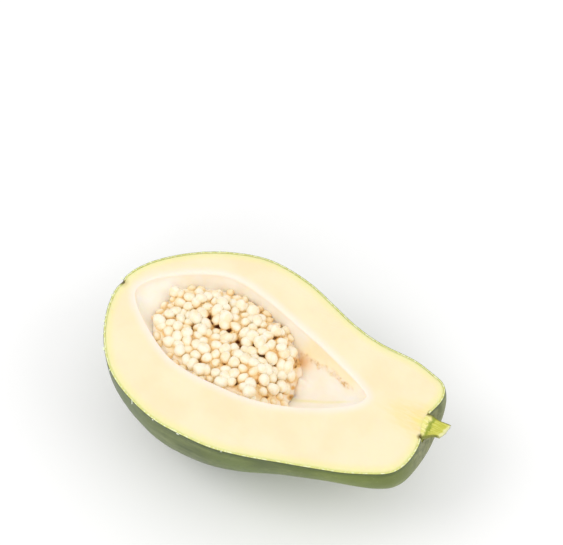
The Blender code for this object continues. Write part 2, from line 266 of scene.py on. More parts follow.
def inset(grid, depth):
    """The grid's rim-to-rim columns, moved in along the surface's normals by depth."""
    normal = unit(np.cross(np.gradient(grid, axis=0), np.gradient(grid, axis=1)))
    normal[0] = (-1, 0, 0)
    if np.ptp(grid[-1, :, 1]) < 1e-6:
        normal[-1] = (1, 0, 0)
    moved = (grid - np.expand_dims(depth, -1) * normal)[:, 1:-1]
    moved[:, (0, -1), 2] = 0
    return moved


def wall_height(x, y, clearance):
    half, middle, depth = hollow_section(x)
    half, depth = np.maximum(half - clearance, 1e-6), np.maximum(depth - clearance, 1e-6)
    return -depth * np.sqrt(np.clip(1 - ((y - middle) / half) ** 2, 0, 1))


def groove_middle(x):
    share = np.clip((x - GROOVE_START[0]) / (GROOVE_END[0] - GROOVE_START[0]), 0, 1)
    return GROOVE_START[1] + share * (GROOVE_END[1] - GROOVE_START[1])


def heap_height(x, y):
    half, middle, _ = hollow_section(x)
    crown = HEAP_CROWN * (1 - np.clip((y - middle) / np.maximum(half, 1e-6), -1, 1) ** 2)
    fade = np.clip((x - HOLLOW_START) / 0.03, 0, 1)
    aside = y - groove_middle(x)
    groove = GROOVE_DEPTH * fade * np.exp(-((aside / GROOVE_SPREAD) ** 2) / 2)
    far = np.clip((aside - HEAP_FAR_START) / HEAP_FAR_REACH, 0, 1)
    drop = HEAP_FAR_DROP * far * far * (3 - 2 * far)
    ends = HEAP_START_SLOPE * np.maximum(HEAP_START - x, 0)
    ends = ends + HEAP_END_SLOPE * np.maximum(x - HEAP_END, 0)
    return -HEAP_DEPTH + crown - groove - drop - ends


def heap_span(x, clearance=BED_GAP):
    half, middle, _ = hollow_section(x)
    y = np.linspace(middle - half, middle + half, 401)
    inside = y[heap_height(x, y) > wall_height(x, y, clearance)]
    return (inside[0], inside[-1]) if len(inside) > 8 else None


def seed_fits(centre):
    x, y, z = centre
    reach = SEED_LENGTH / 2 + BED_GAP
    if heap_span(x) is None or wall_height(x, y, BED_GAP) > heap_height(x, y) - BED_GAP:
        return False
    half, middle, depth = hollow_section(np.array([x - reach, x, x + reach]))
    if min(half) <= reach or min(depth) <= reach:
        return False
    return bool(np.all(((y - middle) / (half - reach)) ** 2 + (z / (depth - reach)) ** 2 < 1))


def lean(draw):
    return Vector((draw.gauss(0, SEED_LEAN), draw.gauss(0, SEED_LEAN), 1)).normalized()


def seed_at(draw, x, y, lift):
    rise = SEED_RISE + lift + draw.uniform(-SEED_RISE_SPREAD, SEED_RISE_SPREAD)
    z = min(float(heap_height(x, y)) + rise, SEED_HIGHEST)
    return Vector((x, y, z)), lean(draw)


def nearest(centre, places):
    return min(((centre - other).length for other, _ in places), default=1)


def seed_places():
    """(centre, pointing) of each seed, by the same rule and draw as the solids' seeds."""
    draw = random.Random(RANDOM_SEED)
    bedded, riding = [], []
    row_step = SEED_PITCH * math.sqrt(3) / 2
    for row in range(int(2 * HOLLOW_REACH / row_step)):
        for column in range(int((HOLLOW_END - HOLLOW_START) / SEED_PITCH)):
            x = HOLLOW_START + (column + row % 2 / 2) * SEED_PITCH + draw.gauss(0, SEED_SCATTER)
            y = row * row_step - HOLLOW_REACH + draw.gauss(0, SEED_SCATTER)
            seed = seed_at(draw, x, y, 0)
            if seed_fits(seed[0]):
                bedded.append(seed)
    for _ in range(RIDING_TRIES):
        x = draw.uniform(HOLLOW_START, HOLLOW_END)
        y = draw.uniform(-HOLLOW_REACH, HOLLOW_REACH)
        seed = seed_at(draw, x, y, RIDING_LIFT)
        rests = RIDING_NEAREST < nearest(seed[0], bedded) < RIDING_FARTHEST
        if rests and nearest(seed[0], riding) > RIDING_SPACING and seed_fits(seed[0]):
            riding.append(seed)
    return bedded + riding


# Meshes


def ripple(points, size, seed=0.0):
    """Smooth noise from -1 to 1 at points, with bumps about as wide as size."""
    flat = np.asarray(points).reshape(-1, 3) / size + seed
    values = [noise.noise(Vector(p)) for p in flat]
    return np.array(values).reshape(np.asarray(points).shape[:-1])


def bumps(points, layers):
    """Layers of such noise, each with its height, width and seed."""
    return sum(height * ripple(points, size, seed) for height, size, seed in layers)


def ramp(value, low, high):
    """0 below low, 1 above high and smooth in between."""
    share = np.clip((value - low) / (high - low), 0, 1)
    return share * share * (3 - 2 * share)


def spot(x, y, at_x, at_y, reach):
    """1 at a place and less away from it, by how far the spot reaches."""
    away = ((x - at_x) ** 2 + (y - at_y) ** 2) / reach**2
    return np.exp(-away / 2)


def unit_ball(along, around):
    """A ball's points: a row for each step from one pole to the other."""
    polar = half_turn(along)
    turn = np.linspace(0, 2 * math.pi, around, endpoint=False)
    polar, turn = np.meshgrid(polar, turn, indexing="ij")
    flat = np.sin(polar)
    return xyz(flat * np.cos(turn), flat * np.sin(turn), np.cos(polar))


def placed(name, data, place=(0, 0, 0)):
    obj = bpy.data.objects.new(name, data)
    obj.location = place
    scene.collection.objects.link(obj)
    return obj


class Shell:
    """Collects grids of points and the faces between them, with a value for each point."""

    def __init__(self, attributes):
        self.points, self.faces = [], []
        self.values = {name: [] for name in attributes.split()}

    def add(self, grid, **values):
        """Adds points and returns their numbers in the grid's shape."""
        first = len(self.points)
        flat = grid.reshape(-1, 3)
        self.points.extend(flat.tolist())
        for name, found in self.values.items():
            value = np.broadcast_to(values.get(name, 0.0), grid.shape[:-1])
            found.extend(value.reshape(-1).tolist())
        return np.arange(first, first + len(flat)).reshape(grid.shape[:-1])

    def join(self, numbers, flipped=False):
        """Faces between neighbouring rows of numbered points."""
        for first, second in zip(numbers, numbers[1:]):
            for k in range(len(first) - 1):
                corners = [first[k], first[k + 1], second[k + 1], second[k]]
                corners = list(dict.fromkeys(int(c) for c in corners))
                if len(corners) > 2:
                    self.faces.append(corners[::-1] if flipped else corners)

    def join_round(self, numbers):
        self.join(np.column_stack([numbers, numbers[:, 0]]), flipped=True)

    def piece(self, name, node, material):
        mesh = bpy.data.meshes.new(name)
        mesh.from_pydata([tuple(p) for p in np.array(self.points) + ORIGIN], [], self.faces)
        for attribute, values in self.values.items():
            layer = mesh.attributes.new(attribute, "FLOAT", "POINT")
            layer.data.foreach_set("value", np.array(values, np.float32))
        mesh.materials.append(material)
        mesh.validate()
        mesh.shade_smooth()
        obj = placed(name, mesh)
        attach(obj, "root")
        if node:
            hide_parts(node)
        return obj


def pinched(numbers, *rows):
    """Gives the points of a row that has shrunk to one point one shared number."""
    for row in rows:
        numbers[row] = numbers[row, 0]
    return numbers


SKIN_ROWS, SKIN_COLUMNS = 180, 90
SKIN_RIM_DROP = 0.00012
# Bumps of the skin outside and of its torn inside, and how far from the rim they fade
SKIN_BUMPS = ((0.00022, 0.022, 0.0), (0.00009, 0.007, 5.0))
TORN_BUMPS = ((0.00015, 0.004, 9.0),)
SKIN_FADE = 0.004
# The skin runs in to the stub's side, which covers the ring that the solids leave bare
SKIN_HOLE_RADIUS = 0.0078
# The scuffed stem end is measured from the shoulder, as if the fruit were this much thinner
END_SQUASH = (1, 1, 0.8)


def make_skin(material):
    stations = even_stations(fruit_section, 0, stub_ring_position(SKIN_HOLE_RADIUS), SKIN_ROWS)
    grid = fruit_grid(stations, SKIN_COLUMNS)
    low, z = underside(), grid[..., 2]
    away = ramp(-z, 0, SKIN_FADE) * ramp(z, low, low + SKIN_FADE)
    outer = inset(grid, -bumps(grid, SKIN_BUMPS) * away)
    inner = inset(grid, SKIN_THICKNESS + bumps(grid, TORN_BUMPS))
    outer[:, (0, -1), 2] = inner[:, (0, -1), 2] = -SKIN_RIM_DROP
    shell = Shell("edge depth end scar")
    end = length((outer - (BODY_LENGTH, 0, 0)) * END_SQUASH)
    scar = length(outer - SCAR)
    outside = pinched(shell.add(outer, depth=-outer[..., 2], end=end, scar=scar), 0)
    inside = pinched(shell.add(inner, edge=1.0, end=end, scar=scar), 0)
    shell.join(outside)
    shell.join(inside, flipped=True)
    for column, flipped in ((0, True), (-1, False)):
        shell.join([outside[:, column], inside[:, column]], flipped)
    shell.join([outside[-1], inside[-1]], flipped=True)
    return shell.piece("skin_surface", "skin", material)


FLESH_ROWS, FACE_STEPS, WALL_COLUMNS, BACK_COLUMNS = 240, 42, 56, 24
END_ROWS = 14
# How far the flesh reaches into the skin, so that no gap shows between them
FLESH_IN_SKIN = 0.00015
# What stands for far from a mark, where the distance is of no use
FAR = 0.1
# Bumps of the cut face, how they fade to its edges, bumps of the hollow's wall and how deep
# in the hollow they start
FACE_BUMPS = ((0.0002, 0.03, 2.0), (0.00006, 0.008, 7.0))
RIM_FADE, MOUTH_FADE = 0.003, 0.004
WALL_BUMPS = ((0.0005, 0.012, 3.0), (0.0002, 0.005, 4.0))
WALL_BUMPS_FROM = (0.003, 0.007)
# The cut face rounds down at the skin, except where the stub joins it
RIM_DROP, RIM_WIDTH = 0.00045, 0.0009
JOINT_FROM, JOINT_SIDE, JOINT_INLAND = (0.212, 0.218), (0.0072, 0.0092), 0.004


def distance_to(chain, points):
    """The distance from each point to the nearest of a chain of points, seen from above."""
    flat = points.reshape(-1, 3)[:, :2]
    parts = np.array_split(flat, len(flat) // 1000)
    best = [length(part[:, None] - chain[None, :, :2]).min(-1) for part in parts]
    return np.concatenate(best).reshape(points.shape[:-1])


# The ridge of pulp in the hollow's narrow end, where it is seen on the cut face, its width
# and height, how it wanders and where it fades in and out
RIDGE = from_mm((
    (130, 7.5), (135.7, 7), (145.2, 4.6), (150.3, 5.5), (154.6, 5), (161, 3.6), (167.1, 1.2),
    (171, -0.4),
))
RIDGE_WIDTH, RIDGE_HEIGHT, RIDGE_WANDER = 0.0027, 0.0012, ((0.0009, 0.005, 6.0),)
RIDGE_FROM, RIDGE_TO = (0.124, 0.136), (0.166, 0.176)
# The pulp above the ridge is uneven
ABOVE_FROM, ABOVE_BUMPS = 0.0025, ((0.0006, 0.0045, 11.0),)
# Ochre stains and painted shade beside the heap, in the same terms, how far they spread and how
# strong they are
STAINS_AND_SHADE = from_mm(((134.5, 1.2, 4.2, 1), (140.4, -19, 2.4, 0.6)), 3)
# Pale lumps of pulp by the heap's lower end, in the same terms: along, across, reach, height
BULGES = from_mm(((142, -13, 2.6, 4), (142.8, -19, 2, 3), (146.4, -12.6, 1.8, 1)))
# A thin yellowish line of painted shade on the lining, seen just inside the full side's lip
SHADE_LINE_IN, SHADE_LINE_WIDTH = 0.0013, 0.001
SHADE_LINE_FROM, SHADE_LINE_TO, SHADE_LINE_SIDE = (0.118, 0.134), (0.165, 0.18), (-0.01, 0.002)
# The lip of the hollow is rounded over, less on the full side than on the narrow one and
# least at the hollow's ends
LIP_FULL_SIDE, LIP_NARROW_SIDE, LIP_REACH, LIP_TURN = 0.0011, 0.0021, 1.35, 0.012
LIP_AT_ENDS, LIP_START, LIP_END = 0.35, 0.02, 0.03
# Marks on the cut: the blossom scar, the stain by the stem, and painted shade in the crevices at
# its foot
SCAR = np.array([0.002, -0.0002, 0.0])
STEM_STAIN, STEM_SQUASH = np.array([0.22, 0.001, 0.0]), (0.7, 1.5, 1)
CREVICE_SHADE_SPOTS = (np.array([0.2198, 0.0098, 0.0]), np.array([0.2212, -0.0086, 0.0]))


def to_crevice_shade(points):
    return np.min([length(points - place) for place in CREVICE_SHADE_SPOTS], axis=0)


def lip_drop(x, y):
    """How far the rounded lip takes the cut face down where it meets the hollow's wall."""
    narrow = ramp(y, -LIP_TURN, LIP_TURN)
    drop = LIP_FULL_SIDE + (LIP_NARROW_SIDE - LIP_FULL_SIDE) * narrow
    start = ramp(x - HOLLOW_START, 0, LIP_START)
    end = ramp(HOLLOW_END - x, 0, LIP_END)
    return drop * (LIP_AT_ENDS + (1 - LIP_AT_ENDS) * np.minimum(start, end))


def hollow_wall():
    """Points of the hollow's wall, from the narrow side's rim to the full side's."""
    stations = even_stations(hollow_section, HOLLOW_START, HOLLOW_END, FLESH_ROWS + END_ROWS)
    turn = half_turn(WALL_COLUMNS)
    x, turn = np.meshgrid(stations, turn, indexing="ij")
    half, middle, depth = hollow_section(x)
    y = middle + half * np.cos(turn)
    drop = lip_drop(x, y)
    below = depth * np.sin(turn)
    return xyz(x, y, -(below + drop * np.exp(-below / drop)))


def make_flesh(material):
    ring = stub_ring_position()
    body = even_stations(fruit_section, 0, ring, FLESH_ROWS)
    end = even_stations(fruit_section, ring, BODY_LENGTH, END_ROWS)
    stations = np.concatenate([body, end[1:]])
    back = inset(fruit_grid(stations, BACK_COLUMNS), SKIN_THICKNESS - FLESH_IN_SKIN)
    wall = hollow_wall()
    rim = np.concatenate([back[:, 0], back[:, -1]])
    mouth = np.concatenate([wall[:, 0], wall[:, -1]])

    steps = (1 - np.cos(half_turn(FACE_STEPS))) / 2
    sides = []
    for column in (0, -1):
        outer, inner = back[:, column], wall[:, column]
        face = outer[:, None] + (inner - outer)[:, None] * steps[None, :, None]
        to_rim, to_mouth = distance_to(rim, face), distance_to(mouth, face)
        to_mouth[:, -1] = 0
        joined = ramp(face[..., 0], *JOINT_FROM)
        joined = joined * (1 - ramp(np.abs(face[..., 1]), *JOINT_SIDE))
        to_rim = to_rim + JOINT_INLAND * joined
        to_stem = length((face - STEM_STAIN) * STEM_SQUASH)
        swell = bumps(face, FACE_BUMPS)
        inland = ramp(to_rim, 0, RIM_FADE) * ramp(to_mouth, 0, MOUTH_FADE)
        edge = RIM_DROP * (1 - ramp(to_rim, 0, RIM_WIDTH))
        drop = lip_drop(face[..., 0], face[..., 1])
        near_lip = np.clip(1 - to_mouth / (LIP_REACH * drop), 0, 1)
        lip = drop * (1 - np.sqrt(1 - near_lip**2))
        face[..., 2] = swell * inland - edge - lip
        values = {"rim": to_rim, "mouth": to_mouth, "wall": lip, "stem": to_stem}
        values.update(scar=length(face - SCAR), crevice=to_crevice_shade(face))
        sides.append((face, {name: value[:, 1:-1] for name, value in values.items()}))

    depth = -wall[..., 2]
    lumps = bumps(wall, WALL_BUMPS)
    seen_x, seen_y = seen(wall)
    line_x, line_y = (np.array(c) for c in zip(*RIDGE))
    wander = bumps(wall * (1, 0, 0), RIDGE_WANDER)
    aside = seen_y + wander - np.interp(seen_x, line_x, line_y)
    reach = ramp(seen_x, *RIDGE_FROM) * (1 - ramp(seen_x, *RIDGE_TO))
    lumpy = 0.45 + 0.55 * ramp(ripple(wall, 0.003, 14.0), -0.25, 0.25)
    strand = reach * lumpy * np.exp(-((aside / RIDGE_WIDTH) ** 2))
    # Ochre stains with painted shade: spots beside the heap, placed where they are seen
    pool = np.zeros_like(seen_x)
    for *place, amount in STAINS_AND_SHADE:
        pool = np.maximum(pool, amount * spot(seen_x, seen_y, *place) * (0.75 + 0.25 * lumpy))
    half, middle, _ = hollow_section(np.clip(seen_x, HOLLOW_START, HOLLOW_END))
    from_lip = seen_y - (middle - half)
    # Painted shade: a thin yellowish line along the full side's lip, placed where it is seen
    shade_line = ramp(seen_x, *SHADE_LINE_FROM) * (1 - ramp(seen_x, *SHADE_LINE_TO)) * (1 - ramp(seen_y, *SHADE_LINE_SIDE))
    shade_line = shade_line * np.exp(-(((from_lip - SHADE_LINE_IN) / SHADE_LINE_WIDTH) ** 2))
    uneven = 1 + 0.5 * ripple(wall, 0.003, 15.0)
    for *place, height in BULGES:
        lumps = lumps + height * spot(seen_x, seen_y, *place) * uneven
    above = reach * ramp(aside, 0, ABOVE_FROM)
    lumps = lumps + above * bumps(wall, ABOVE_BUMPS)
    inward = unit(wall * (0, -1, -1))
    raised = lumps * ramp(depth, *WALL_BUMPS_FROM) + RIDGE_HEIGHT * strand
    wall = wall + raised[..., None] * inward
    for column, (face, _) in zip((0, -1), sides):
        back[:, column, 2] = face[:, 0, 2]
        wall[:, column] = face[:, -1]

    shell = Shell("rim mouth wall strand above pool fold scar stem crevice")
    fold = shade_line * (0.6 + 0.4 * lumpy)
    inside = {"wall": depth, "strand": strand, "above": above, "pool": pool, "fold": fold}
    hollow = shell.add(wall, rim=FAR, scar=FAR, stem=FAR, crevice=FAR, **inside)
    outside = shell.add(back, mouth=FAR, scar=FAR, stem=FAR, crevice=to_crevice_shade(back))
    shell.join(pinched(outside, 0, -1))
    shell.join(pinched(hollow, 0, -1), flipped=True)
    seam = None
    for column, (face, values), flipped in zip((0, -1), sides, (True, False)):
        inner = shell.add(face[:, 1:-1], **values)
        if seam is not None:
            inner[0], inner[-1] = seam
        seam = inner[0], inner[-1]
        shell.join(np.column_stack([outside[:, column], inner, hollow[:, column]]), flipped)
    return shell.piece("flesh_surface", "flesh", material)


SEED_AROUND, SEED_ALONG = 16, 10
BED_ROWS, BED_COLUMNS = 170, 110
# The pulp between the seeds: its height above the solid bed, its bumps and how far it sinks
# in the dark gaps, how it comes up from the wall, and how far from the wall it pales
BED_LIFT, BED_BUMPS, BED_SINK = 0.0017, ((0.0007, 0.0035, 8.0),), 0.0046
BED_IN_DARK, BED_SIDES, BED_START, BED_FAR_END = (0.45, 1.0), 0.06, 0.006, 0.008
BED_BORDER, BED_START_BORDER, BED_END_BORDER = 0.0065, (0.001, 0.01), (0.002, 0.01)
BED_BORDER_DARK = (0.42, 0.6)
# How dark the pulp is along the hollow and in patches, and how much shade is painted in its groove
PULP_DARK, PULP_DARK_FROM, PULP_PATCHES = 0.16, (0.055, 0.12), ((0.1, 0.006, 12.0),)
GROOVE_SHADE, GROOVE_SHADE_FROM = 0.22, (0.04, 0.06)
GROOVE_SHADE_ASIDE, GROOVE_SHADE_WIDTH = 0.005, 0.009
# How high a seed's top stands above the solid bed, and no seed above the cut
RISE_HEIGHT, SEED_TOP = 0.0054, -0.0002
# A seed's length and breadth beside a solid one's, how much narrower and how lumpy it gets
SEED_LONG, SEED_SLIM, SEED_NARROWING, SEED_LUMPS = (0.98, 1.34), (0.86, 1.0), (0, 0.28), 0.16
# Sizes beside a solid seed, and the share of the seeds that are larger still
SEED_SIZES, SEED_LARGE, SEED_LARGE_SHARE = (0.96, 1.16), 1.14, 0.14
# How far a depth below the cut shifts a point along and across, seen from the camera
SEEN_ALONG, SEEN_ACROSS = 0.356, -0.634
# Gaps between the seeds, painted dark as shade where they are seen: along, across, reach and
# darkness
SHADED_GAPS = from_mm((
    (64.8, 2.9, 2.6, 1), (69.6, 1.2, 2.6, 1), (73.6, -0.4, 2.8, 1), (81.1, 0.6, 2.4, 1),
    (90.7, -4.5, 2.6, 1), (94.3, -6.8, 2, 0.9), (101.1, -2.1, 2.2, 0.8), (109.8, -5.8, 2.6, 1),
    (119.4, -8.9, 2.4, 0.8), (77.5, -29, 2.2, 0.8), (91.9, -22.6, 2, 0.8), (116.9, -24.5, 2.2, 0.8),
    (59.6, -10.6, 2.2, 0.9), (54.1, 3.1, 2.2, 0.8), (105.4, -31.8, 2, 0.9), (126.9, -32, 2.4, 0.8),
    (109.7, 9.6, 2.2, 0.8), (134.3, -23.8, 2.8, 0.8), (141.5, -25.5, 2.4, 0.8),
    (91.8, 21.6, 2, 0.6), (132.2, -0.6, 4.6, 0.72), (130.6, 0.6, 1.4, 0.9), (132.6, -3.6, 1.3, 0.9),
    (135.2, -0.4, 1.1, 0.85), (139.2, -18.5, 2.2, 0.7),
), 3)
# The bed thins out towards the wall over this much of either end, to no less than this
BED_END, BED_THINNEST = 0.004, 0.00005
# How far seeds keep from a dark gap, and how far they are moved for it at most
GAP_CLEARANCE, GAP_PUSH = 0.004, 0.002
# Small seeds: how many are tried, how near and deep they stand, their sizes and their end
FILLING_TRIES, FILLING_NEAREST, FILLING_SINK, FILLING_SIZES = 5000, 0.0051, 0.001, (0.62, 0.94)
FILLING_END, FILLING_END_SLANT, FILLING_DARKEST = 0.1258, 0.45, 0.55
# Threads of pulp: how many are tried, and how long, thick and bowed they are
STRAND_TRIES, STRAND_SHORTEST, STRAND_LONGEST = 46, 0.008, 0.016
STRAND_RADIUS, STRAND_RADII, STRAND_BOW, STRAND_LIFT = 0.00034, (0.7, 1.5), 0.0012, 0.0009
STRAND_ARCH, STRAND_STEPS, STRAND_AROUND = 0.001, 10, 6


def seen(points):
    """Where points in the hollow appear on the cut face, seen from the camera."""
    depth = -points[..., 2]
    return points[..., 0] + SEEN_ALONG * depth, points[..., 1] + SEEN_ACROSS * depth


# Painted shade in the gaps and the groove, with the pulp's own darkness along the hollow and in
# patches
def darkness_and_gap_shade(points):
    x, y = seen(points)
    aside = (y + GROOVE_SHADE_ASIDE - groove_middle(x)) / GROOVE_SHADE_WIDTH
    groove = GROOVE_SHADE * np.exp(-(aside**2)) * ramp(x, *GROOVE_SHADE_FROM)
    along = PULP_DARK + PULP_DARK * ramp(x, *PULP_DARK_FROM)
    dark = along + groove + bumps(points, PULP_PATCHES)
    for *place, amount in SHADED_GAPS:
        dark = np.maximum(dark, amount * spot(x, y, *place))
    return np.clip(dark, 0, 1)


def set_back(centre):
    """A seed's centre, moved back a little from the dark gap beside it."""
    x, y = seen(np.array(centre))
    moved = np.array(centre)
    for gap_x, gap_y, reach, amount in SHADED_GAPS:
        away = np.array([x - gap_x, y - gap_y])
        far = length(away)
        push = np.clip(GAP_CLEARANCE + 0.5 * reach * amount - far, 0, GAP_PUSH)
        moved[:2] += push * away / max(far, 1e-6)
    return Vector(moved) if seed_fits(moved) else centre


def bed_top(x, y):
    """The pulp's visible top: the bed's, made uneven and sunk in the dark gaps."""
    top = xyz(x, y, heap_height(x, y))
    dark = darkness_and_gap_shade(top)
    sunk = BED_SINK * ramp(dark, *BED_IN_DARK)
    return top[..., 2] + BED_LIFT + bumps(top, BED_BUMPS) - sunk


def add_bed(shell):
    held = [x for x in np.linspace(HOLLOW_START, HOLLOW_END, 600) if heap_span(x, PULP_GAP)]
    rows = np.linspace(held[0], held[-1], BED_ROWS)
    share = (1 - np.cos(half_turn(BED_COLUMNS))) / 2
    low, high = np.array([heap_span(x, PULP_GAP) for x in rows]).T[:, :, None]
    y = low + (high - low) * share
    x = np.repeat(rows[:, None], len(share), 1)
    start, end = x - rows[0], rows[-1] - x
    inner = np.minimum(ramp(share, 0, BED_SIDES), ramp(1 - share, 0, BED_SIDES))
    inner = inner * ramp(start, 0, BED_START) * ramp(end, 0, BED_FAR_END)
    edge = heap_height(x, y)
    wall = wall_height(x, y, PULP_GAP)
    full = np.maximum(edge + (bed_top(x, y) - edge) * inner, wall)
    thinned = np.minimum(ramp(start, 0, BED_END), ramp(end, 0, BED_END))
    z = np.maximum(wall + (full - wall) * thinned, wall + BED_THINNEST)
    top = xyz(x, y, z)
    border = ramp((high - low) / 2 * (1 - np.abs(2 * share - 1)), 0, BED_BORDER)
    border = border * ramp(start, *BED_START_BORDER) * ramp(end, *BED_END_BORDER)
    dark = darkness_and_gap_shade(top)
    border = np.maximum(border, ramp(dark, *BED_BORDER_DARK))
    upper = shell.add(top, dark=dark, border=border, tone=0.5)
    lower = shell.add(xyz(x, y, wall)[:, 1:-1])
    lower = np.column_stack([upper[:, 0], lower, upper[:, -1]])
    shell.join(upper)
    shell.join(lower, flipped=True)
    shell.join([upper[0], lower[0]])
    shell.join([upper[-1], lower[-1]], flipped=True)


def add_seed(shell, ball, draw, place, size, number):
    """A seed in its sac: an oval, narrower at one end, that lies any way round."""
    centre, pointing = place
    long, slim = draw.uniform(*SEED_LONG), draw.uniform(*SEED_SLIM)
    narrowing = 1 - draw.uniform(*SEED_NARROWING) * ball[..., 0]
    shape = xyz(long, slim * narrowing, narrowing)
    body = ball * shape * (1 + SEED_LUMPS * ripple(ball, 1.0, number * 3.7))[..., None]
    body = body * (SEED_WIDTH / 2, SEED_WIDTH / 2, SEED_LENGTH / 2) * size
    spin = draw.uniform(0, 2 * math.pi)
    turn = pointing.to_track_quat("Z", "Y").to_matrix() @ Matrix.Rotation(spin, 3, "Z")
    body = body @ np.array(turn).T + np.array(centre)
    body[..., 2] = np.minimum(body[..., 2], SEED_TOP)
    rise = np.clip((body[..., 2] - heap_height(body[..., 0], body[..., 1])) / RISE_HEIGHT, 0, 1.2)
    numbers = shell.add(body, rise=rise, dark=darkness_and_gap_shade(body), border=1.0, tone=draw.random())
    shell.join_round(pinched(numbers, 0, -1))


def filling_places(places, draw):
    """Small seeds in the gaps that the larger ones leave, out to the hollow's wall."""
    centres = np.array([centre for centre, _ in places])
    found = []
    for _ in range(FILLING_TRIES):
        x, y = draw.uniform(HOLLOW_START, HOLLOW_END), draw.uniform(-HOLLOW_REACH, HOLLOW_REACH)
        z = float(heap_height(x, y)) + FILLING_SINK
        if heap_span(x, PULP_GAP) is None or wall_height(x, y, PULP_GAP) > z - FILLING_SINK:
            continue
        ends = x + FILLING_END_SLANT * y > FILLING_END
        if ends or darkness_and_gap_shade(np.array([x, y, z])) > FILLING_DARKEST:
            continue
        if length(centres - (x, y, z)).min() > FILLING_NEAREST:
            found.append((Vector((x, y, z)), lean(draw)))
            centres = np.vstack([centres, (x, y, z)])
    return found


def add_strand(shell, draw, start, end):
    """A thread of pulp that sags between two seeds."""
    share = np.linspace(0, 1, STRAND_STEPS)[:, None]
    arch = np.sin(math.pi * share)
    bow = np.array([draw.uniform(-STRAND_BOW, STRAND_BOW) for _ in range(2)] + [0])
    path = start + (end - start) * share + bow * arch
    path[:, 2] = bed_top(path[:, 0], path[:, 1]) + STRAND_LIFT + STRAND_ARCH * arch[:, 0]
    radius = STRAND_RADIUS * draw.uniform(*STRAND_RADII) * (1.3 - 0.6 * arch)
    around = np.linspace(0, 2 * math.pi, STRAND_AROUND, endpoint=False)
    along = unit(end - start)
    side = unit(np.cross(along, (0, 0, 1)))
    rise = np.cross(side, along)
    ring = side * np.cos(around)[:, None] + rise * np.sin(around)[:, None]
    tube = path[:, None] + radius[:, None] * ring
    numbers = shell.add(tube, rise=0.14, dark=0.42, border=1.0, tone=0.4)
    shell.join_round(numbers)
    shell.faces += [numbers[0].tolist(), numbers[-1, ::-1].tolist()]


def make_seeds(material):
    draw = random.Random(RANDOM_SEED + 1)
    shell = Shell("rise dark border tone")
    add_bed(shell)
    ball = unit_ball(SEED_ALONG, SEED_AROUND)
    places = [(set_back(centre), pointing) for centre, pointing in seed_places()]
    for number, place in enumerate(places):
        size = draw.uniform(*SEED_SIZES) * (SEED_LARGE if draw.random() < SEED_LARGE_SHARE else 1)
        add_seed(shell, ball, draw, place, size, number)
    for number, place in enumerate(filling_places(places, draw)):
        add_seed(shell, ball, draw, place, draw.uniform(*FILLING_SIZES), number + 500)
    centres = np.array([centre for centre, _ in places])
    for _ in range(STRAND_TRIES):
        first = draw.choice(centres)
        away = length(centres - first)
        near = centres[(away > STRAND_SHORTEST) & (away < STRAND_LONGEST)]
        if len(near):
            add_strand(shell, draw, first, draw.choice(near))
    return shell.piece("seed_bunch", "seeds", material)


DROP_ALONG, DROP_AROUND = 8, 14
# Drops of latex on the rim: along the fruit, side, length, width and how far they stand out
LATEX_DROPS = from_mm((
    (-1.2, 1, 2.6, 1.1, 1.6), (0.6, -1, 1.6, 1, 1), (1.2, -1, 2.2, 1.3, 1.2),
    (3.5, -1, 1.2, 0.9, 0.8), (6.2, -1, 1.6, 1, 0.9), (8, -1, 2.2, 1.1, 1.1),
    (9.8, -1, 1.6, 1.1, 1), (12.8, -1, 1.3, 0.9, 0.8), (19.5, -1, 3.4, 1, 1), (0.8, 1, 1.3, 1, 0.9),
    (2.2, 1, 1.7, 1.2, 1.1), (3.7, 1, 1.5, 1.1, 1), (8.2, 1, 2, 1.4, 1.3), (34.5, 1, 1.7, 1, 0.9),
    (44, 1, 1.9, 1.1, 1), (48, 1, 1.2, 0.9, 0.8), (74, -1, 1.1, 0.6, 0.5),
    (92.5, -1, 1.9, 0.6, 0.5), (121.5, -1, 0.9, 0.5, 0.4),
), 1)
# Smears that ran down the skin from the rim: along the fruit, side and how far down
LATEX_RUNS = from_mm(((55.5, -1, 5), (31, -1, 2.4), (87, 1, 4), (19, 1, 6)), 1)
RUN_STEPS, RUN_WANDER, RUN_WIDTH, RUN_THICKNESS = 6, 0.0005, 0.00045, 0.0003
# How lumpy a drop is, how it sits on the rim, and what it measures beside its table
DROP_LUMPS, DROP_OUT, DROP_DOWN, DROP_THICK, DROP_WIDE = 0.18, 0.25, 0.0004, 0.62, 0.55
# How far apart the places are that give the rim's direction
RIM_STEP = 0.0004


def rim_frame(x, side):
    """A point of the rim at x, the direction along the rim and the one out of the fruit."""
    at = np.clip([x, x + RIM_STEP, x - RIM_STEP], 0.00002, BODY_LENGTH)
    half, middle, _ = fruit_section(at)
    rim = xyz(at, middle + side * half, 0)
    along = unit(rim[1] - rim[2])
    out = np.array([-side * along[1], side * along[0], 0.0])
    return rim[0], along, out


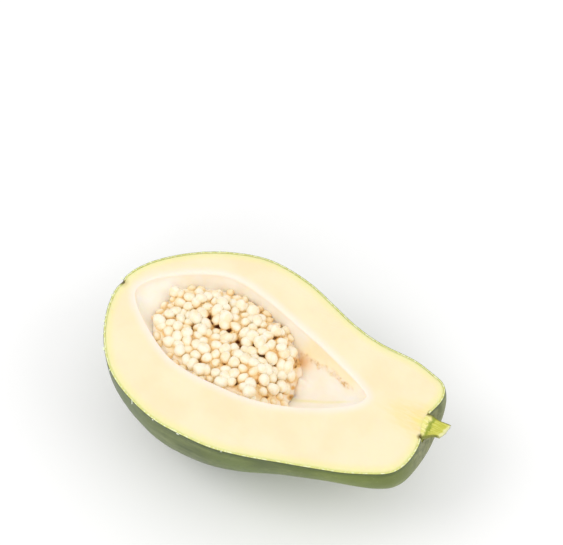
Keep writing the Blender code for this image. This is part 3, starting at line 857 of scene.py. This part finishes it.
def make_drops(material):
    draw = random.Random(RANDOM_SEED + 2)
    shell = Shell("tone")
    ball = unit_ball(DROP_ALONG, DROP_AROUND)
    up = np.array([0, 0, 1])

    def add(middle, along, out, size, number):
        lumpy = ball * (1 + DROP_LUMPS * ripple(ball, 0.7, number * 2.3))[..., None]
        body = middle + lumpy * size @ np.array([along, out, up])
        numbers = shell.add(body, tone=draw.random())
        shell.join_round(pinched(numbers, 0, -1))

    for number, (x, side, long, wide, thick) in enumerate(LATEX_DROPS):
        rim, along, out = rim_frame(max(x, 0.0001), side)
        middle = rim + out * thick * DROP_OUT - up * DROP_DOWN
        add(middle, along, out, (long / 2, thick * DROP_THICK, wide * DROP_WIDE), number)
    for number, (x, side, reach) in enumerate(LATEX_RUNS):
        rim, along, out = rim_frame(x, side)
        half, _, depth = fruit_section(x)
        for step in range(RUN_STEPS):
            share = (step + 0.5) / RUN_STEPS
            turn = math.asin(min(reach * share / depth, 1))
            inward = (1 - math.cos(turn)) * half * 0.8
            wander = RUN_WANDER * math.sin(5 * share + number)
            middle = rim - up * reach * share - out * inward + along * wander
            size = (RUN_WIDTH * (1.2 - 0.6 * share), RUN_THICKNESS, reach / 9)
            add(middle, along, out, size, number + 40 + step)
    return shell.piece("latex_drops", None, material)


STUB_ROWS, STUB_COLUMNS, STUB_ACROSS = 40, 48, 24
# How deep the stub's foot stands in the flesh, how frayed its tip is and how raised its fibres
STUB_IN_FLESH = 0.0006
STUB_FRAYS, STUB_FIBRES = ((0.0009, 0.0018, 1.0),), ((0.00025, 0.0006, 2.0),)
STUB_CREASE, STUB_CREASE_AT, STUB_CREASE_SLANT, STUB_CREASE_WIDTH = 0.0006, 0.42, 0.35, 0.05
STUB_LIFT, STUB_FOOT, STUB_LIFTED = 0.0003, 0.06, 0.3
# Flutes round the stub, and how its tip is flattened, thinned and bent to the side
FLUTES, FLUTE_DEPTH, FLUTE_TWIST = 9, 0.05, 3
TIP_FROM, TIP_FLATTER, TIP_THINNER, TIP_ASIDE = 0.25, 0.27, 0.3, 0.0024


def make_stub(material):
    foot_at = BODY_LENGTH - SKIN_THICKNESS - STUB_IN_FLESH

    def along(share, y, z):
        """How far along the fruit a share of the way from the stub's foot to its torn tip is."""
        foot = foot_at + stem_end_lean(BODY_LENGTH, z) - dimple(y, z)
        frayed = bumps(xyz(0, y, z), STUB_FRAYS)
        return foot + share * (STUB_TIP_X + STUB_TIP_SLANT * y + frayed - foot)

    share = np.linspace(0, 1, STUB_ROWS + 1)
    turn = half_turn(STUB_COLUMNS)
    share, turn = np.meshgrid(share, turn, indexing="ij")
    flutes = np.sin(FLUTES * turn + FLUTE_TWIST * share) * ramp(share, 0, STUB_LIFTED)
    radius = smooth_curve(STUB_OUTLINE)(share) * (1 + FLUTE_DEPTH * flutes)
    y, z = radius * np.cos(turn), -radius * np.sin(turn)
    bent = ramp(share, TIP_FROM, 1.0)
    y = y * (1 - TIP_FLATTER * bent) + TIP_ASIDE * bent
    z = z * (1 - TIP_THINNER * bent)
    side = xyz(along(share, y, z), y, z)
    shell = Shell("share cut side")
    numbers = shell.add(side, share=share, side=1.0)
    shell.join(numbers)
    low, high = side[:, 0], side[:, -1]
    across = np.linspace(0, 1, STUB_ACROSS + 1)[1:-1]
    face = low[:, None] + (high - low)[:, None] * across[None, :, None]
    face[..., 0] = along(share[:, :1], face[..., 1], face[..., 2])
    fibres = bumps(face * (0.12, 1, 1), STUB_FIBRES)
    share = share[:, :1]
    aside = share - STUB_CREASE_AT - STUB_CREASE_SLANT * (across - 0.5)
    crease = STUB_CREASE * np.exp(-((aside / STUB_CREASE_WIDTH) ** 2))
    sunk = STUB_IN_FLESH * (1 - ramp(share, 0, STUB_FOOT))
    lift = STUB_LIFT * (1 - ramp(share, STUB_FOOT, STUB_LIFTED))
    face[..., 2] += fibres - crease + lift - sunk
    middle = shell.add(face, share=share, cut=1.0, side=np.abs(2 * across - 1))
    cut = np.column_stack([numbers[:, 0], middle, numbers[:, -1]])
    shell.join(cut, flipped=True)
    picked = np.round(np.linspace(0, STUB_COLUMNS, STUB_ACROSS + 1)).astype(int)
    shell.join([numbers[-1, picked], cut[-1]])
    shell.join([numbers[0, picked], cut[0]], flipped=True)
    return shell.piece("stem_stub_surface", "stem_stub", material)


# Materials


def rgb(*screen):
    """A scene colour from the 0 to 255 numbers of a screen colour."""
    values = (value / 255 for value in screen)
    linear = (v / 12.92 if v <= 0.04045 else ((v + 0.055) / 1.055) ** 2.4 for v in values)
    return (*linear, 1)


class Surface:
    """A Principled material and short names for the nodes that feed it."""

    def __init__(self, name, **settings):
        self.material = bpy.data.materials.new(name)
        self.material.use_nodes = True
        self.tree = self.material.node_tree
        self.shader = self.tree.nodes["Principled BSDF"]
        self.colour = None
        for socket, value in settings.items():
            self.shader.inputs[socket.replace("_", " ")].default_value = value

    def node(self, kind, inputs=(), **properties):
        node = self.tree.nodes.new("ShaderNode" + kind)
        for name, value in properties.items():
            setattr(node, name, value)
        for key, value in dict(inputs).items():
            self.feed(node.inputs[key], value)
        return node

    def feed(self, socket, value):
        if isinstance(value, bpy.types.NodeSocket):
            self.tree.links.new(value, socket)
        else:
            socket.default_value = rgb(*value) if socket.type == "RGBA" else value

    def value(self, name):
        return self.node("Attribute", attribute_name=name).outputs["Fac"]

    def place(self, stretch=(1, 1, 1)):
        where = self.node("TexCoord").outputs["Object"]
        return self.node("Mapping", {"Vector": where, "Scale": stretch}).outputs["Vector"]

    def noise(self, scale, detail=3.0, roughness=0.55, stretch=(1, 1, 1)):
        inputs = dict(Vector=self.place(stretch), Scale=scale, Detail=detail, Roughness=roughness)
        return self.node("TexNoise", inputs).outputs["Fac"]

    def math(self, operation, first, second=0.0):
        node = self.node("Math", operation=operation)
        self.feed(node.inputs[0], first)
        self.feed(node.inputs[1], second)
        return node.outputs["Value"]

    def times(self, first, second):
        return self.math("MULTIPLY", first, second)

    def plus(self, first, second):
        return self.math("ADD", first, second)

    def span(self, value, low, high):
        """0 where value is low, 1 where it is high, smooth in between."""
        inputs = {"Value": value, "From Min": low, "From Max": high}
        node = self.node("MapRange", inputs, interpolation_type="SMOOTHSTEP")
        return node.outputs["Result"]

    def near(self, value, low, high):
        return self.math("SUBTRACT", 1.0, self.span(value, low, high))

    def mix(self, share, first, second):
        node = self.node("Mix", data_type="RGBA")
        self.feed(node.inputs[0], share)
        self.feed(node.inputs[6], first)
        self.feed(node.inputs[7], second)
        return node.outputs[2]

    def paint(self, share, strength, colour):
        self.colour = self.mix(self.times(share, strength), self.colour, colour)

    def mark(self, distance, close, far, strength, colour):
        """Paints where the distance to something is small."""
        self.paint(self.near(distance, close, far), strength, colour)

    def bump(self, height, distance, strength):
        inputs = {"Height": height, "Distance": distance, "Strength": strength}
        normal = self.node("Bump", inputs).outputs["Normal"]
        self.feed(self.shader.inputs["Normal"], normal)

    def finished(self, rough):
        self.feed(self.shader.inputs["Base Color"], self.colour)
        self.feed(self.shader.inputs["Roughness"], rough)
        return self.material


def skin_material():
    s = Surface("papaya_skin", Specular_IOR_Level=0.42, Coat_Weight=0.12, Coat_Roughness=0.35)
    patches = s.span(s.noise(26, 4, 0.6), 0.38, 0.64)
    s.colour = s.mix(patches, (58, 74, 22), (92, 104, 40))
    broad = s.span(s.noise(11, 2, 0.5), 0.42, 0.66)
    s.paint(broad, 0.45, (88, 116, 30))
    streaks = s.span(s.noise(90, 4, 0.6, (0.22, 1, 1)), 0.48, 0.72)
    s.paint(streaks, 0.5, (130, 140, 84))
    flecks = s.span(s.noise(190, 4, 0.65), 0.52, 0.64)
    s.paint(flecks, 0.32, (46, 62, 18))
    along = s.node("SeparateXYZ", {"Vector": s.place()}).outputs["X"]
    s.mark(along, -0.095, -0.02, 0.4, (104, 112, 92))
    s.paint(s.span(along, -0.01, 0.08), 0.45, (122, 132, 44))
    cells = s.node("TexVoronoi", {"Vector": s.place(), "Scale": 430})
    pores = s.near(cells.outputs["Distance"], 0.08, 0.22)
    pores = s.times(pores, s.span(s.noise(70, 2), 0.5, 0.66))
    s.paint(pores, 0.35, (150, 166, 104))
    rubbed = s.span(s.noise(260, 4, 0.65), 0.36, 0.62)
    s.mark(s.value("end"), 0.012, 0.034, 0.75, s.mix(rubbed, (84, 88, 38), (136, 136, 90)))
    wander = s.times(s.noise(120, 3), 0.0036)
    s.mark(s.plus(s.value("depth"), wander), 0.0016, 0.006, 0.75, (62, 80, 14))
    torn = s.mix(s.span(s.noise(520, 3), 0.46, 0.62), (222, 224, 136), (244, 246, 196))
    s.paint(s.span(s.value("edge"), 0.0, 0.36), 1, torn)
    s.mark(s.value("scar"), 0.001, 0.0032, 0.9, (84, 66, 34))
    height = s.plus(s.noise(900, 3), s.times(s.noise(140, 3, 0.6), 2.0))
    s.bump(s.math("SUBTRACT", height, s.times(pores, 0.25)), 0.00022, 0.5)
    return s.finished(s.plus(s.times(s.noise(60, 3), 0.18), 0.38))


def flesh_material():
    s = Surface("papaya_flesh", Specular_IOR_Level=0.45, Subsurface_Weight=0.35,
                Subsurface_Radius=(0.005, 0.0036, 0.002), Subsurface_Scale=1.0)
    wander = s.times(s.math("SUBTRACT", s.noise(160, 4, 0.6), 0.5), 0.0016)
    rim = s.plus(s.value("rim"), wander)
    wall = s.value("wall")
    cloudy = s.span(s.noise(30, 3, 0.5), 0.35, 0.7)
    s.colour = s.mix(cloudy, (251, 234, 198), (248, 228, 188))
    veins = s.span(s.noise(150, 3, 0.5, (0.5, 1, 1)), 0.62, 0.74)
    s.paint(veins, 0.1, (244, 222, 170))
    s.mark(s.value("mouth"), 0.0005, 0.0068, 0.8, (252, 236, 224))
    s.mark(rim, 0.0006, 0.007, 0.62, (242, 236, 160))
    s.mark(rim, 0.0002, 0.0016, 0.75, (236, 235, 148))
    stem = s.near(s.value("stem"), 0.006, 0.026)
    streaky = s.span(s.noise(420, 3, 0.6, (0.22, 1, 1)), 0.35, 0.65)
    streaky = s.plus(s.times(streaky, 0.5), 0.35)
    s.paint(stem, streaky, (250, 222, 148))
    s.mark(s.value("stem"), 0.001, 0.0075, 0.75, (240, 232, 140))
    # Painted shade: dark olive in the crevices beside the stub's foot
    s.mark(s.value("crevice"), 0.0004, 0.0026, 0.9, (104, 88, 24))
    lining = s.mix(s.span(s.noise(70, 3), 0.35, 0.7), (252, 243, 231), (252, 240, 219))
    s.paint(s.span(wall, 0.0002, 0.004), 1, lining)
    s.paint(s.span(wall, 0.006, 0.018), 0.35, (252, 239, 220))
    s.paint(s.value("above"), 0.8, (253, 235, 192))
    # Painted shade: the thin yellowish line just inside the full side's lip
    s.paint(s.value("fold"), 0.75, (242, 232, 170))
    # Ochre stains and painted shade beside the heap
    s.paint(s.value("pool"), 0.9, (236, 186, 118))
    dots = s.span(s.noise(300, 3, 0.6), 0.42, 0.58)
    broken = s.plus(s.times(dots, 0.58), 0.42)
    ridge = s.times(s.span(s.value("strand"), 0.15, 0.85), broken)
    ochre = s.mix(s.span(s.noise(500, 2), 0.4, 0.6), (236, 200, 128), (206, 158, 84))
    s.paint(ridge, 0.85, ochre)
    s.mark(s.value("scar"), 0.0008, 0.005, 0.55, (196, 176, 118))
    s.mark(s.value("scar"), 0.0006, 0.0016, 0.92, (74, 52, 26))
    grain = s.plus(s.noise(700, 3, 0.6), s.times(s.noise(240, 3, 0.6, (0.3, 1, 1)), 1.2))
    s.bump(grain, 0.00016, 0.45)
    return s.finished(s.plus(s.times(s.noise(120, 3), 0.14), 0.4))


def seed_material():
    s = Surface("papaya_seeds", Specular_IOR_Level=0.35, Subsurface_Weight=0.1,
                Subsurface_Radius=(0.0012, 0.0008, 0.0005), Subsurface_Scale=1.0,
                Coat_Weight=0.12, Coat_Roughness=0.18)
    rise, dark, border, tone = (s.value(name) for name in ("rise", "dark", "border", "tone"))
    cloudy = s.span(s.noise(240, 3), 0.35, 0.65)
    amber = s.mix(cloudy, (245, 208, 142), (234, 184, 112))
    # Painted shade: the pulp turns amber and then dark brown where the gaps and the groove are
    # dark, over its own tone
    pulp_and_shade = s.mix(s.span(dark, 0.1, 0.5), (253, 234, 192), amber)
    pulp_and_shade = s.mix(s.span(dark, 0.62, 0.92), pulp_and_shade, (132, 74, 34))
    pulp_and_shade = s.mix(border, (255, 245, 230), pulp_and_shade)
    # Painted light and shade: a seed is yellower down its sides and paler on its top, over its own
    # cream colour, and the pulp colour climbs higher up it beside dark gaps
    side = s.mix(tone, (250, 228, 182), (246, 211, 150))
    top = s.mix(s.span(s.noise(200, 2), 0.4, 0.7), (252, 243, 222), (250, 232, 194))
    foot = s.plus(s.times(dark, 0.22), s.times(s.span(dark, 0.55, 0.95), 0.22))
    s.colour = s.mix(s.span(s.math("SUBTRACT", rise, foot), 0.04, 0.34), pulp_and_shade, side)
    # Painted light: the tops of the seeds are paler
    s.paint(s.span(rise, 0.42, 0.92), 1, top)
    s.bump(s.plus(s.noise(520, 3), s.times(s.noise(1500, 2), 0.3)), 0.00025, 0.5)
    return s.finished(s.plus(s.times(s.noise(300, 2), 0.12), 0.28))


def latex_material():
    s = Surface("latex", Specular_IOR_Level=0.5, Subsurface_Weight=0.2, Coat_Weight=0.4,
                Subsurface_Radius=(0.001, 0.001, 0.0008), Subsurface_Scale=1.0)
    pale = s.mix(s.value("tone"), (250, 254, 238), (236, 246, 214))
    s.colour = s.mix(s.span(s.noise(900, 2), 0.45, 0.75), pale, (222, 234, 190))
    s.bump(s.noise(1300, 2), 0.0001, 0.4)
    return s.finished(s.plus(s.times(s.noise(700, 2), 0.2), 0.22))


def stub_material():
    s = Surface("papaya_stem", Specular_IOR_Level=0.4)
    share, cut = s.value("share"), s.value("cut")
    fibres = s.span(s.noise(1300, 3, 0.6, (0.1, 1, 1)), 0.38, 0.66)
    inside = s.mix(fibres, (192, 192, 66), (220, 218, 114))
    base = s.mix(fibres, (230, 224, 124), (244, 236, 164))
    inside = s.mix(s.span(share, 0.26, 0.4), base, inside)
    near_joint = s.math("ABSOLUTE", s.math("SUBTRACT", share, 0.36))
    wander = s.times(s.math("SUBTRACT", s.noise(420, 3), 0.5), 0.45)
    joint = s.near(s.plus(near_joint, wander), 0.02, 0.15)
    inside = s.mix(s.times(joint, 0.8), inside, (136, 152, 34))
    outside = s.mix(fibres, (128, 140, 52), (172, 182, 84))
    s.colour = s.mix(cut, outside, inside)
    # The torn tip is paler: its own pale yellow and a painted highlight
    s.paint(s.span(share, 0.9, 1.0), 0.7, (246, 244, 190))
    s.paint(s.span(s.value("side"), 0.8, 1.0), 0.65, (112, 110, 40))
    # Brown marks and painted shade: the stub is darker at its edges near the foot, where it meets
    # the fruit
    low = s.near(share, 0.06, 0.3)
    foot_marks_and_shade = s.times(s.span(s.value("side"), 0.66, 0.92), low)
    s.paint(foot_marks_and_shade, 0.9, (84, 70, 16))
    s.bump(s.noise(1300, 3, 0.6, (0.1, 1, 1)), 0.0003, 0.7)
    return s.finished(0.55)


def floor_material():
    s = Surface("pale_floor", Specular_IOR_Level=0.2)
    s.colour = s.mix(s.noise(6, 2), (250.46, 250.46, 250.46), (252.75, 252.75, 252.75))
    return s.finished(0.8)


# Floor, light and camera

FLOOR_REACH = 4.0
WORLD_STRENGTH = 0.84
LIGHT_AIM, LIGHT_SIZE = (0, 0, 0.05), 2.2
LIGHTS = (
    ("key", (-1.9, -1.1, 2.9), 26, (1, 0.99, 0.97)),
    ("fill", (1.3, -2.6, 1.6), 14, (1, 1, 1)),
    ("side", (2.5, 0.5, 1.9), 14, (1, 1, 1)),
)
CAMERA_AZIMUTH = math.radians(29.3)
CAMERA_ELEVATION = math.radians(54)
CAMERA_DISTANCE = 0.875
CAMERA_AIM = (0.0883, 0.0575, 0)


def make_floor():
    mesh = bpy.data.meshes.new("floor")
    turns = ((-1, -1), (1, -1), (1, 1), (-1, 1))
    mesh.from_pydata([(x * FLOOR_REACH, y * FLOOR_REACH, 0) for x, y in turns], [], [(0, 1, 2, 3)])
    mesh.materials.append(floor_material())
    floor = placed("floor", mesh)


def aim(obj, target):
    direction = Vector(target) - obj.location
    obj.rotation_euler = direction.to_track_quat("-Z", "Y").to_euler()


def make_light():
    world = bpy.data.worlds.new("studio")
    world.use_nodes = True
    background = world.node_tree.nodes["Background"]
    background.inputs["Color"].default_value = (1, 1, 1, 1)
    background.inputs["Strength"].default_value = WORLD_STRENGTH
    scene.world = world
    for name, place, power, colour in LIGHTS:
        data = bpy.data.lights.new(name, "AREA")
        data.shape = "DISK"
        data.size = LIGHT_SIZE
        data.energy = power
        data.color = colour
        aim(placed(name, data, place), LIGHT_AIM)


def make_camera():
    data = bpy.data.cameras.new("camera")
    data.sensor_width = 36
    data.lens = 85
    target = Vector(ORIGIN + np.array(CAMERA_AIM))
    flat, up = math.cos(CAMERA_ELEVATION), math.sin(CAMERA_ELEVATION)
    back = Vector((math.sin(CAMERA_AZIMUTH) * flat, -math.cos(CAMERA_AZIMUTH) * flat, up))
    camera = placed("camera", data, target + CAMERA_DISTANCE * back)
    aim(camera, target)
    scene.camera = camera
    scene.view_settings.view_transform = "Standard"
    scene.view_settings.exposure = 0.0


make_skin(skin_material())
make_flesh(flesh_material())
make_seeds(seed_material())
make_drops(latex_material())
make_stub(stub_material())
make_floor()
make_light()
make_camera()
